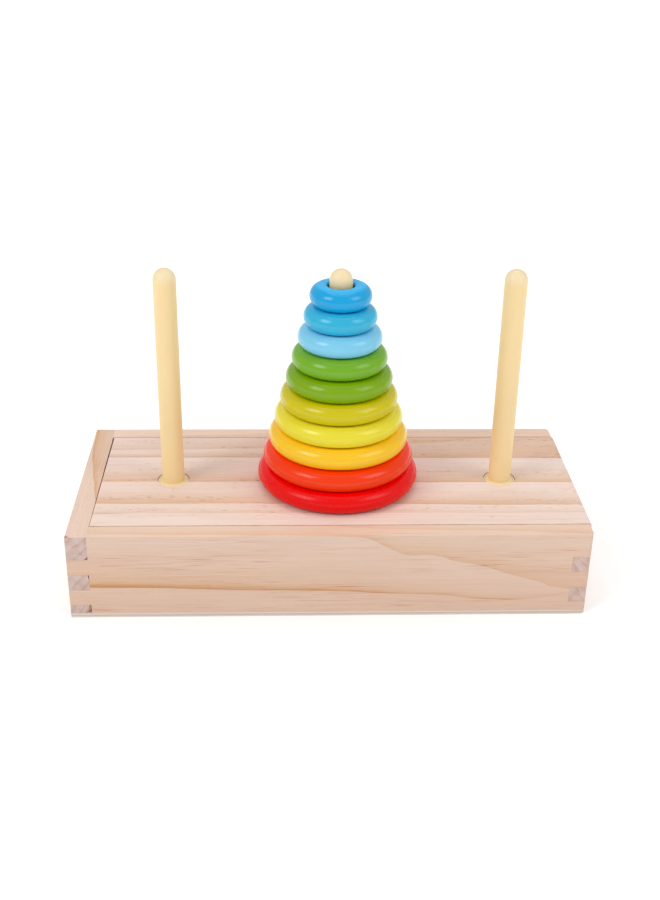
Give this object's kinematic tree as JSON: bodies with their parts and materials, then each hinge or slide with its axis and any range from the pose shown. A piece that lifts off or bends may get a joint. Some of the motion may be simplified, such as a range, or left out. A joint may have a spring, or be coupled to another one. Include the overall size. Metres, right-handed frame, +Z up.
{
  "type": "tower of hanoi puzzle",
  "caption": "Stacking puzzle: graded painted rings on upright pegs that plug into the sliding lid of a finger-jointed pine box, which stores the pieces.",
  "frame": {"origin": "on the table under the middle of the closed puzzle", "axes": "+X along the length, the way the lid slides out; +Z up, along the pegs; the front of the box faces -Y"},
  "size_m": [0.224, 0.103, 0.14],
  "materials": {
    "pine": "sanded bare pine, unvarnished",
    "base_ply": "thin pale plywood, sanded edge",
    "peg_plastic": "satin cream plastic",
    "socket_plastic": "satin pale cream plastic",
    "paint_red": "gloss red enamel on turned wood",
    "paint_orange_red": "gloss orange-red enamel on turned wood",
    "paint_amber": "gloss amber enamel on turned wood",
    "paint_yellow": "gloss yellow enamel on turned wood",
    "paint_olive_yellow": "gloss olive yellow enamel on turned wood",
    "paint_green": "gloss green enamel on turned wood",
    "paint_leaf_green": "gloss leaf green enamel on turned wood",
    "paint_pale_blue": "gloss pale blue enamel on turned wood",
    "paint_sea_blue": "gloss sea blue enamel on turned wood",
    "paint_bright_blue": "gloss bright blue enamel on turned wood"
  },
  "bodies": {
    "box": {"bottom_panel": "base_ply", "front_wall": "pine", "back_wall": "pine", "left_wall": "pine", "right_wall": "pine"},
    "lid": {"lid_panel": "pine", "socket_left": "socket_plastic", "socket_centre": "socket_plastic", "socket_right": "socket_plastic"},
    "peg_left": {"peg_left": "peg_plastic"},
    "peg_centre": {"peg_centre": "peg_plastic"},
    "peg_right": {"peg_right": "peg_plastic"},
    "ring_01_red": {"ring_01_red": "paint_red"},
    "ring_02_orange_red": {"ring_02_orange_red": "paint_orange_red"},
    "ring_03_amber": {"ring_03_amber": "paint_amber"},
    "ring_04_yellow": {"ring_04_yellow": "paint_yellow"},
    "ring_05_olive_yellow": {"ring_05_olive_yellow": "paint_olive_yellow"},
    "ring_06_green": {"ring_06_green": "paint_green"},
    "ring_07_leaf_green": {"ring_07_leaf_green": "paint_leaf_green"},
    "ring_08_pale_blue": {"ring_08_pale_blue": "paint_pale_blue"},
    "ring_09_sea_blue": {"ring_09_sea_blue": "paint_sea_blue"},
    "ring_10_bright_blue": {"ring_10_bright_blue": "paint_bright_blue"}
  },
  "joints": [
    {"name": "lid_slide", "type": "slide", "parent": "box", "child": "lid", "axis": [1, 0, 0], "range_m": [0, 0.215]},
    {"name": "peg_left_lift", "type": "slide", "parent": "lid", "child": "peg_left", "axis": [0, 0, 1], "range_m": [0, 0.03]},
    {"name": "peg_centre_lift", "type": "slide", "parent": "lid", "child": "peg_centre", "axis": [0, 0, 1], "range_m": [0, 0.03]},
    {"name": "peg_right_lift", "type": "slide", "parent": "lid", "child": "peg_right", "axis": [0, 0, 1], "range_m": [0, 0.03]},
    {"name": "ring_01_lift", "type": "slide", "parent": "peg_centre", "child": "ring_01_red", "axis": [0, 0, 1], "range_m": [0, 0.105]},
    {"name": "ring_02_lift", "type": "slide", "parent": "ring_01_red", "child": "ring_02_orange_red", "axis": [0, 0, 1], "range_m": [0, 0.0957]},
    {"name": "ring_03_lift", "type": "slide", "parent": "ring_02_orange_red", "child": "ring_03_amber", "axis": [0, 0, 1], "range_m": [0, 0.0864]},
    {"name": "ring_04_lift", "type": "slide", "parent": "ring_03_amber", "child": "ring_04_yellow", "axis": [0, 0, 1], "range_m": [0, 0.0771]},
    {"name": "ring_05_lift", "type": "slide", "parent": "ring_04_yellow", "child": "ring_05_olive_yellow", "axis": [0, 0, 1], "range_m": [0, 0.0678]},
    {"name": "ring_06_lift", "type": "slide", "parent": "ring_05_olive_yellow", "child": "ring_06_green", "axis": [0, 0, 1], "range_m": [0, 0.0585]},
    {"name": "ring_07_lift", "type": "slide", "parent": "ring_06_green", "child": "ring_07_leaf_green", "axis": [0, 0, 1], "range_m": [0, 0.0492]},
    {"name": "ring_08_lift", "type": "slide", "parent": "ring_07_leaf_green", "child": "ring_08_pale_blue", "axis": [0, 0, 1], "range_m": [0, 0.0399]},
    {"name": "ring_09_lift", "type": "slide", "parent": "ring_08_pale_blue", "child": "ring_09_sea_blue", "axis": [0, 0, 1], "range_m": [0, 0.0306]},
    {"name": "ring_10_lift", "type": "slide", "parent": "ring_09_sea_blue", "child": "ring_10_bright_blue", "axis": [0, 0, 1], "range_m": [0, 0.0213]}
  ]
}
